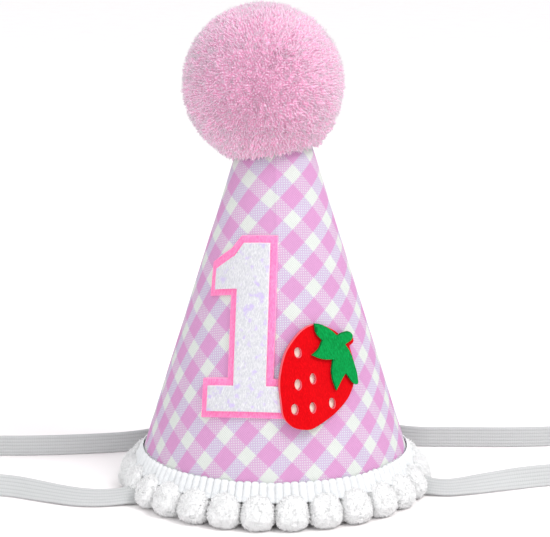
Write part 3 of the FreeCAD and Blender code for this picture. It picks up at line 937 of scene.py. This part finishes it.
def pile_place(direction):
    """The closed form under the pile's tips, with a socket for the cone's tip in its mouth."""
    angle = down_angle(direction)
    if angle >= MOUTH_ANGLE:
        lump = noise.noise(direction * LUMP_SCALE) * LUMP_DEPTH + noise.noise(direction * 3.1) * 0.0003
        return pile_tip(direction, lump - PILE_DEPTH)
    edge = pile_tip(swing(direction, MOUTH_ANGLE), -PILE_DEPTH)
    level = aside(direction)
    level.z = 0
    level.normalize()
    share = angle / MOUTH_ANGLE
    top = Vector((0, 0, SOCKET_TOP))
    if share > SOCKET_SHARE:
        return edge.lerp(top + level * SOCKET_RADIUS, (1 - share) / (1 - SOCKET_SHARE))
    return top + level * (SOCKET_RADIUS * share / SOCKET_SHARE)


def pompom_tip(face, spread):
    direction = (face.calc_center_median() - POMPOM_MIDDLE).normalized()
    reach = PILE_DEPTH + spread.uniform(-0.0005, 0.0)
    return face.calc_center_median() + direction * reach + random_step(spread, 0.0005)


pompom_mesh = jittered_sphere(6, 0.35, 3)
piled = [face for face in pompom_mesh.faces
         if down_angle(face.calc_center_median().normalized()) > MOUTH_ANGLE * 1.02]
for vertex in pompom_mesh.verts:
    vertex.co = pile_place(vertex.co.copy())
grow_tufts(pompom_mesh, piled, pompom_tip, (0.7,), (0.35,), 0.0001, 5)
bmesh.ops.recalc_face_normals(pompom_mesh, faces=pompom_mesh.faces[:])
# Deep is painted shade between the tufts and Tip is painted light at their tips.
pompom_yarn = make_yarn_material("pompom_yarn", "FFB0D8", "FFCDEB", "FFECFA", 1.0)
pompom = finish_piece("pompom_pile", pompom_mesh, pompom_yarn, body="pompom")
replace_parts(pompom, "pompom")


def fibre_root(direction):
    if down_angle(direction) < MOUTH_ANGLE:
        return None
    return pile_tip(direction, -FIBRE_DEPTH)


def fibre_tip(direction, spread):
    clump = noise.noise_vector(direction * LUMP_SCALE) * CLUMP_REACH
    return pile_tip(direction, spread.uniform(-0.0006, 0.0003)) + clump + random_step(spread, 0.0004)


for layer in (1, 2, 3):
    fibre_mesh = grow_fibres(6, fibre_root, fibre_tip, FIBRE_WIDTH, 20 + layer)
    finish_piece("pompom_fibres_%d" % layer, fibre_mesh, pompom_yarn, body="pompom")

# %% [markdown]
# ## Fringe balls
# Each fringe ball has a core and tufts like the pom-pom's, with shorter pile. The balls sit so close
# that they press each other nearly square, and closer still beside the elastic, so each gets its two
# half widths. Their tops lean in towards the heading, and the lowest fibres are flat on the table.

# %% Fringe balls
BALL_PILE = 0.0005
BALL_TOP = 0.0101
LEAN_IN = 0.3
HALF_PITCH = 0.0050
BESIDE_ELASTIC = 0.0040
BALL_OUT = 0.0046
SQUARENESS = 2.5
BALL_LUMP = 0.00025
TABLE_GAP = 0.00005
AFTER_ELASTIC = (17, 28)
# The fringe yarn's deep colour is a faint painted shade between the tufts, its tips painted light.
ball_yarn = make_yarn_material("fringe_yarn", "FBFCFC", "FFFFFF", "FFFFFF", 1.0)


def ball_place(direction, middle, before, after):
    """The ball's surface: it is pressed against its neighbours, and wider towards the heading."""
    outwards = Vector((middle.x, middle.y, 0)).normalized()
    sideways = Vector((-outwards.y, outwards.x, 0))
    along = direction.dot(sideways)
    out = direction.dot(outwards)
    total = abs(along) ** SQUARENESS + abs(out) ** SQUARENESS + abs(direction.z) ** SQUARENESS
    size = total ** (-1 / SQUARENESS)
    wide = (after if along > 0 else before) - BALL_PILE * 0.5
    tall = (BALL_TOP - middle.z if direction.z > 0 else middle.z) - BALL_PILE * 0.5
    deep = BALL_OUT - BALL_PILE
    rise = direction.z * size * tall
    from_middle = out * size * deep - LEAN_IN * max(rise, 0)
    return middle + sideways * (along * size * wide) + outwards * from_middle + Vector((0, 0, rise))


def fringe_ball(number, name):
    low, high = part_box(name)
    radius = (high[0] - low[0]) / 2
    middle = Vector(((low[0] + high[0]) / 2, (low[1] + high[1]) / 2, high[2] - radius))
    before = BESIDE_ELASTIC if number in AFTER_ELASTIC else HALF_PITCH
    after = BESIDE_ELASTIC if number + 1 in AFTER_ELASTIC else HALF_PITCH
    mesh = jittered_sphere(5, 0.3, 100 + number)
    for vertex in mesh.verts:
        lump = noise.noise(vertex.co * 3.5 + Vector((number * 7.1, 0, 0))) * BALL_LUMP
        vertex.co = ball_place(vertex.co.copy(), middle, before, after) + vertex.co * lump

    def ball_tip(face, spread):
        reach = BALL_PILE + spread.uniform(-0.0003, 0.0001)
        return face.calc_center_median() + face.normal * reach + random_step(spread, 0.0003)

    mesh.normal_update()
    grow_tufts(mesh, mesh.faces[:][::2], ball_tip, (0.7,), (0.35,), 0.0001, 200 + number)
    for vertex in mesh.verts:
        vertex.co.z = max(vertex.co.z, TABLE_GAP)
    piece = finish_piece("yarn_ball_%02d" % number, mesh, ball_yarn)
    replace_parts(piece, name)


for number, name in enumerate(BALL_NAMES, start=1):
    fringe_ball(number, name)

# %% [markdown]
# ## Felt pieces
# Felt is pressed fibre, so it has no weave: it is cut with scissors to a flat outline and glued on. We
# draw each outline as a flat curve, let Blender fill it with its holes left open, slice it into a grid
# so that it can bend, give it its thickness, soften its cut edges and wrap it on the cone.

# %% Felt cutting
FELT = 0.0010
BERRY_FELT = 0.0012
FELT_SLICE = 0.0012
CUT_SOFTNESS = 0.00014


def filled_outline(loops):
    """A flat filled mesh from (points, smooth) loops; a loop inside another is a hole.

    A point may carry a third value, which says whether the line is soft or has a corner there.
    """
    curve = bpy.data.curves.new("cutting_line", "CURVE")
    curve.dimensions = "2D"
    curve.fill_mode = "BOTH"
    curve.resolution_u = 8
    for points, smooth in loops:
        spline = curve.splines.new("BEZIER")
        spline.bezier_points.add(len(points) - 1)
        for control, point in zip(spline.bezier_points, points):
            control.co = (point[0], point[1], 0)
            soft = point[2] if len(point) > 2 else smooth
            control.handle_left_type = "AUTO" if soft else "VECTOR"
            control.handle_right_type = "AUTO" if soft else "VECTOR"
        spline.use_cyclic_u = True
    mesh = curve_mesh(curve)
    bmesh.ops.remove_doubles(mesh, verts=mesh.verts[:], dist=0.00001)
    return mesh


def slice_mesh(mesh, spacing):
    """Cuts a flat mesh along evenly spaced lines both ways."""
    for axis in (0, 1):
        low = min(vertex.co[axis] for vertex in mesh.verts)
        high = max(vertex.co[axis] for vertex in mesh.verts)
        normal = Vector((1, 0, 0)) if axis == 0 else Vector((0, 1, 0))
        for step in range(1, int((high - low) / spacing) + 1):
            place = normal * (low + step * spacing)
            geometry = mesh.verts[:] + mesh.edges[:] + mesh.faces[:]
            bmesh.ops.bisect_plane(mesh, geom=geometry, dist=0.000001, plane_co=place, plane_no=normal)


def wrap_place(point, foot, offset):
    """Where a point of a flat pattern lands on the cone; foot is its angle, its height and its lean."""
    reach = slant_at(RIM_Z + foot[1], offset)
    aim = foot[0] * math.sin(HALF_ANGLE)
    tilt = aim + foot[2]
    across = reach * math.sin(aim) + point[0] * math.cos(tilt) - point[1] * math.sin(tilt)
    down = reach * math.cos(aim) - point[0] * math.sin(tilt) - point[1] * math.cos(tilt)
    return cone_place(math.atan2(across, down) / math.sin(HALF_ANGLE), math.hypot(across, down), offset)


def felt_mesh(loops, wall, foot, offset_of):
    """A felt shape cut flat, thickened and wrapped; offset_of(x, y) is its back's offset."""
    mesh = filled_outline(loops)
    slice_mesh(mesh, FELT_SLICE)
    for vertex in mesh.verts:
        ragged = noise.noise_vector(Vector((vertex.co.x, vertex.co.y, 0)) * 900)
        vertex.co.x += ragged.x * 0.00005
        vertex.co.y += ragged.y * 0.00005
    raised = bmesh.ops.extrude_face_region(mesh, geom=mesh.faces[:])["geom"]
    for item in raised:
        if isinstance(item, bmesh.types.BMVert):
            item.co.z += wall
    bmesh.ops.recalc_face_normals(mesh, faces=mesh.faces[:])
    rims = [edge for edge in mesh.edges if len(edge.link_faces) == 2 and edge.calc_face_angle() > 1.0
            and abs(edge.verts[0].co.z - edge.verts[1].co.z) < wall / 2]
    bmesh.ops.bevel(mesh, geom=rims, offset=CUT_SOFTNESS, segments=2, profile=0.5, affect="EDGES",
                    material=-1)
    cut = mesh.verts.layers.float.new("cut")
    for vertex in mesh.verts:
        side = max((1 - abs(face.normal.z) for face in vertex.link_faces), default=0)
        vertex[cut] = 1.0 if side > 0.4 else 0.0
    for vertex in mesh.verts:
        x, y, height = vertex.co
        vertex.co = wrap_place((x, y), foot, offset_of(x, y) + height)
    bmesh.ops.recalc_face_normals(mesh, faces=mesh.faces[:])
    return mesh


# %% [markdown]
# ## Felt finish
# The fibres of felt run every way, lighter and darker, and a few stand up. Three noises stretched in
# three directions and joined give that tangle. The cut edge gets a painted highlight, paler where its
# thickness catches the light, from an attribute on the edge's points; on the green felt the same mix
# makes the edge darker. One group serves the five colours of felt.


# %% Felt fibre group
def make_felt_group():
    tree, start, end = start_group("felt_fibres", (("Vector", "Vector"), ("Fibre", "Float")),
                                   (("Tangle", "Float"), ("Blotch", "Float"), ("Height", "Float")))
    scale = calc(tree, "DIVIDE", 1.0, start.outputs["Fibre"])
    strands = []
    for turn in (-11, 0, 12):
        turned = add(tree, "VectorRotate", {"Vector": start.outputs["Vector"],
                                            "Angle": math.radians(turn)}, rotation_type="Y_AXIS")
        drawn = add(tree, "VectorMath", {0: turned.outputs[0], 1: (1.0, 1.0, 0.09)}, operation="MULTIPLY")
        strand = add(tree, "TexNoise", {"Vector": drawn.outputs[0], "Scale": scale, "Detail": 3.0,
                                        "Roughness": 0.55})
        strands.append(strand.outputs[0])
    tangle = calc(tree, "MAXIMUM", calc(tree, "MAXIMUM", strands[0], strands[1]), strands[2])
    blotch = add(tree, "TexNoise", {"Vector": start.outputs["Vector"],
                                    "Scale": calc(tree, "MULTIPLY", scale, 0.16), "Detail": 3.0})
    tree.links.new(ease(tree, tangle, 0.42, 0.80), end.inputs["Tangle"])
    tree.links.new(blotch.outputs[0], end.inputs["Blotch"])
    tree.links.new(tangle, end.inputs["Height"])
    return tree


FELT_FIBRES = make_felt_group()


def make_felt_material(name, low, high, blotch, edge, blotch_share):
    material, tree, shader = start_material(name, Roughness=0.95, Specular_IOR_Level=0.1)
    felt = use_group(tree, FELT_FIBRES, {"Vector": object_place(tree), "Fibre": 0.00034})
    cut = attribute(tree, "cut")
    fibres = mix(tree, felt.outputs["Tangle"], tint(low), tint(high))
    patches = calc(tree, "MULTIPLY", ease(tree, felt.outputs["Blotch"], 0.52, 0.72), blotch_share)
    blotched = mix(tree, patches, fibres, tint(blotch))
    # Painted highlight: the cut edge is mixed toward the paler edge colour (darker on the green felt).
    colour(tree, shader, mix(tree, calc(tree, "MULTIPLY", cut, 0.55), blotched, tint(edge)))
    bump(tree, shader, felt.outputs["Height"], 0.00015, 0.4)
    return material


white_felt = make_felt_material("white_felt", "BEBFC5", "DFDFE1", "BFAEDC", "EAE9EC", 0.8)
pink_felt = make_felt_material("pink_felt", "F073AC", "FF9DC8", "F583B6", "FFB3D3", 0.5)
red_felt = make_felt_material("red_felt", "C00009", "DE0410", "CC000B", "F58A9A", 0.5)
green_felt = make_felt_material("green_felt", "007A36", "07A04E", "007532", "05642E", 0.5)
patch_felt = make_felt_material("patch_felt", "DEDEDE", "F6F6F6", "E4E4E6", "F8F8F8", 0.5)

# %% [markdown]
# ## The numeral
# The numeral is cut twice, once in pink with a border all round and once in white, and the two are
# glued one on the other. Both outlines come from the same sizes, with the border added.

# %% Numeral
NUMERAL_ANGLE = math.radians(-12.5)
NUMERAL_FOOT = 0.0257
NUMERAL_LEAN = math.radians(2.0)
NUMERAL_HEIGHT = 0.0508
STEM_WIDTH = 0.0100
BASE_WIDTH = 0.0276
BASE_HEIGHT = 0.0076
FLAG_WIDTH = 0.0081
FLAG_HEIGHT = 0.0064
FLAG_DROP = 0.0074
BROW = 0.0017
BROW_BEND = 0.0020
NUMERAL_MARGIN = 0.0021


def numeral_outline(margin):
    stem = STEM_WIDTH / 2 + margin
    base = BASE_WIDTH / 2 + margin
    base_top = BASE_HEIGHT + margin
    top = NUMERAL_HEIGHT + margin
    brow = BROW - STEM_WIDTH / 2 - margin / 2
    flag_left = -stem - FLAG_WIDTH
    flag_top = top - FLAG_DROP
    flag_low = flag_top - FLAG_HEIGHT - 2 * margin
    bend = (brow - stem) / 2 - BROW_BEND
    return ((-base, -margin), (base, -margin), (base, base_top), (stem, base_top), (stem, top),
            (brow, top), (bend, (top + flag_top) / 2), (flag_left, flag_top), (flag_left, flag_low),
            (-stem, flag_low), (-stem, base_top), (-base, base_top))


def outline_area(points):
    pairs = zip(points, points[1:] + points[:1])
    return abs(sum(a[0] * b[1] - b[0] * a[1] for a, b in pairs)) / 2


def felt_piece(name, node, loops, wall, foot, offset_of, material):
    """Cuts, wraps and names one felt piece; foot is as in wrap_place."""
    piece = finish_piece(name, felt_mesh(loops, wall, foot, offset_of), material)
    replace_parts(piece, node)
    points = list(loops[0][0])
    outline_area(points)


NUMERAL_FOOT_PLACE = (NUMERAL_ANGLE, NUMERAL_FOOT, NUMERAL_LEAN)
felt_piece("numeral_pink", "numeral_backing", [(numeral_outline(NUMERAL_MARGIN), False)], FELT,
           NUMERAL_FOOT_PLACE, lambda x, y: COTTON, pink_felt)
felt_piece("numeral_white", "numeral_front", [(numeral_outline(0.0), False)], FELT,
           NUMERAL_FOOT_PLACE, lambda x, y: COTTON + FELT, white_felt)

# %% [markdown]
# ## The strawberry
# The strawberry laps over the numeral's foot, so it starts on top of it and settles towards the cloth
# on its free side. Six seed holes are punched right through it and show the pale glue behind, which is
# made at the end, and the leaves with their stalk are a second piece on top.

# %% Strawberry
BERRY_FOOT = (math.radians(23.0), 0.0344, 0.0)
BERRY_OUTLINE = (
    (-0.0010, 0.0166), (-0.0076, 0.0126), (-0.0122, 0.0038), (-0.0131, -0.0048), (-0.0122, -0.0110),
    (-0.0073, -0.0140), (-0.0006, -0.0128), (0.0055, -0.0096), (0.0114, -0.0039), (0.0136, 0.0020),
    (0.0127, 0.0092, 0), (0.0149, 0.0110, 1), (0.0131, 0.0127, 1), (0.0105, 0.0118, 0),
    (0.0064, 0.0148))
LEAVES = (
    (0.0000, 0.0172, 0), (0.0029, 0.0164, 1), (0.0053, 0.0150, 1), (0.0077, 0.0129, 0),
    (0.0106, 0.0137, 1), (0.0132, 0.0136, 1), (0.0140, 0.0124, 1), (0.0104, 0.0100, 0),
    (0.0120, 0.0076, 1), (0.0130, 0.0044, 1), (0.0137, -0.0004, 1), (0.0132, -0.0023, 1),
    (0.0091, 0.0013, 0), (0.0077, -0.0001, 1), (0.0049, -0.0036, 0), (0.0040, 0.0014, 1),
    (0.0050, 0.0058, 0), (0.0016, 0.0062, 1), (-0.0022, 0.0079, 0),
    (0.0004, 0.0094, 1), (0.0021, 0.0118, 0), (0.0004, 0.0140, 1))
SEED_SPOTS = ((-0.0063, 0.0091), (-0.0024, 0.0007), (-0.0074, -0.0004), (-0.0093, -0.0076),
              (-0.0036, -0.0078), (0.0034, -0.0075))
SEED_HALF_WIDTH = 0.0010
SEED_HALF_HEIGHT = 0.0016
BERRY_BACK = COTTON + 2 * FELT
BERRY_SETTLE = 0.0015
BERRY_TURN = (-0.006, 0.003)
GLUE_SHARE = 0.92
GLUE_WALL = 0.0002
GLUE_GAP = 0.00002
LAYER_GAP = 0.00003


def oval(spot, half_width, half_height):
    turns = [math.radians(45 * i) for i in range(8)]
    return [(spot[0] + half_width * math.cos(t), spot[1] + half_height * math.sin(t)) for t in turns]


def berry_offset(x, y):
    return BERRY_BACK + LAYER_GAP - BERRY_SETTLE * step_between(x, *BERRY_TURN)


berry_loops = [(BERRY_OUTLINE, True)]
berry_loops += [(oval(spot, SEED_HALF_WIDTH, SEED_HALF_HEIGHT), True) for spot in SEED_SPOTS]
felt_piece("strawberry_red", "strawberry_body", berry_loops, BERRY_FELT, BERRY_FOOT, berry_offset,
           red_felt)
felt_piece("strawberry_leaves", "strawberry_calyx", [(LEAVES, False)], FELT, BERRY_FOOT,
           lambda x, y: berry_offset(x, y) + BERRY_FELT + LAYER_GAP, green_felt)

# %% [markdown]
# ## Felt patches inside the rim
# Each end of the elastic is covered inside the hat by a small felt patch. It is cut with round corners
# and sags onto the card beside the elastic.

# %% Patches
PATCH_WIDTH = 0.0130
PATCH_HEIGHT = 0.0120
PATCH_CORNER = 0.0022
PATCH_LOW = 0.0004


def patch_offset(x, y):
    over_tab = 1 - step_between(abs(x), ELASTIC_WIDTH / 2, PATCH_WIDTH / 2 - 0.0008)
    over_tab *= 1 - step_between(y, 0.0078, 0.0110)
    return -CARD - FELT - 0.0003 - ELASTIC_WALL * over_tab


def patch(side, end):
    half = PATCH_WIDTH / 2
    corner = PATCH_CORNER
    points = ((-half, PATCH_LOW), (half, PATCH_LOW), (half, PATCH_HEIGHT - corner),
              (half - corner * 0.3, PATCH_HEIGHT - corner * 0.3), (half - corner, PATCH_HEIGHT),
              (-half + corner, PATCH_HEIGHT), (-half + corner * 0.3, PATCH_HEIGHT - corner * 0.3),
              (-half, PATCH_HEIGHT - corner))
    angle = math.atan2(end[0], -end[1])
    felt_piece("patch_" + side, "elastic_patch_" + side, [(points, False)], FELT,
               (angle, 0.0, 0.0), patch_offset, patch_felt)


patch("left", ELASTIC_ROUTE[0])
patch("right", ELASTIC_ROUTE[-1])

# %% [markdown]
# ## Tie knot and the plain parts
# The pom-pom's tie cord passes through the card disc in the tip and is knotted under it. A knot is a
# cord that goes round itself, so it follows a trefoil. The card, the disc and the threads keep their
# own shapes and only need a finish each; the glue becomes a thin pad under the strawberry.


# %% Tie cord finish
def make_cord_material():
    material, tree, shader = start_material("tie_cord", Roughness=0.8, Sheen_Weight=0.3,
                                            Sheen_Roughness=0.4)
    twist = add(tree, "TexWave", {"Vector": object_place(tree), "Scale": 420.0, "Distortion": 1.2,
                                  "Detail": 2.0}, bands_direction="DIAGONAL")
    fuzz = fuzz_at(tree, 0.0004)
    # Painted shade: the twist is darker in its low grooves, where the bump sinks.
    base = mix(tree, twist.outputs["Fac"], tint("D880A8"), tint("F3B4D2"))
    colour(tree, shader, mix(tree, calc(tree, "MULTIPLY", fuzz.outputs["Shade"], 0.3), base,
                             tint("F9D3E5")))
    bump(tree, shader, twist.outputs["Fac"], 0.0002, 0.8)
    return material


cord_material = make_cord_material()
KNOT_STRAND = 0.00085


def tie_knot():
    low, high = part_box("tie_knot")
    middle = Vector((0, 0, low[2] + (high[0] - low[0]) / 2))
    size = ((high[0] - low[0]) / 2 - KNOT_STRAND) / 3
    line = []
    for i in range(60):
        t = 2 * math.pi * i / 60
        ring = (2 + math.cos(3 * t)) * size
        line.append(middle + Vector((ring * math.cos(2 * t), ring * math.sin(2 * t),
                                     math.sin(3 * t) * size * 1.3)))
    curve = bpy.data.curves.new("knot_line", "CURVE")
    curve.dimensions = "3D"
    curve.bevel_depth = KNOT_STRAND
    curve.bevel_resolution = 3
    loop = curve.splines.new("POLY")
    loop.points.add(len(line) - 1)
    for control, place in zip(loop.points, line):
        control.co = (*place, 1.0)
    loop.use_cyclic_u = True
    stem = curve.splines.new("POLY")
    stem.points.add(3)
    for i, control in enumerate(stem.points):
        control.co = (0, 0, middle.z + (high[2] - middle.z) * i / 3, 1.0)
    mesh = curve_mesh(curve)
    bmesh.ops.holes_fill(mesh, edges=[edge for edge in mesh.edges if edge.is_boundary], sides=0)
    piece = finish_piece("knotted_cord", mesh, cord_material)
    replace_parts(piece, "tie_knot")


tie_knot()


# %% Card, disc, glue and thread
def make_card_material():
    material, tree, shader = start_material("white_card", Roughness=0.75)
    fuzz = fuzz_at(tree, 0.0009)
    colour(tree, shader, mix(tree, ease(tree, fuzz.outputs["Shade"], 0.2, 0.8), tint("E4E2DC"),
                             tint("F4F3EF")))
    bump(tree, shader, fuzz.outputs["Height"], 0.00008, 0.5)
    return material


def make_glue_material():
    material, tree, shader = start_material("hot_glue", Roughness=0.35, Coat_Weight=0.2)
    lumps = add(tree, "TexNoise", {"Vector": object_place(tree), "Scale": 500.0, "Detail": 2.0})
    colour(tree, shader, mix(tree, lumps.outputs[0], tint("DAD5C2"), tint("F0ECDD")))
    bump(tree, shader, lumps.outputs[0], 0.0002, 0.6)
    return material


def refinish(names, material):
    """Gives carried-over nodes a new finish in their own material slots."""
    for name in names:
        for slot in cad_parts[name].material_slots:
            slot.material = material


refinish(("card_cone", "tip_disc"), make_card_material())
glue_outline = [(GLUE_SHARE * point[0], GLUE_SHARE * point[1]) for point in BERRY_OUTLINE]
glue_pad = felt_mesh([(glue_outline, True)], GLUE_WALL, BERRY_FOOT,
                     lambda x, y: berry_offset(x, y) - GLUE_WALL - GLUE_GAP)
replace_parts(finish_piece("glue_pad", glue_pad, make_glue_material()), "strawberry_glue")
refinish(("pompom_tie",), cord_material)
refinish(("trim_threads",), ball_yarn)
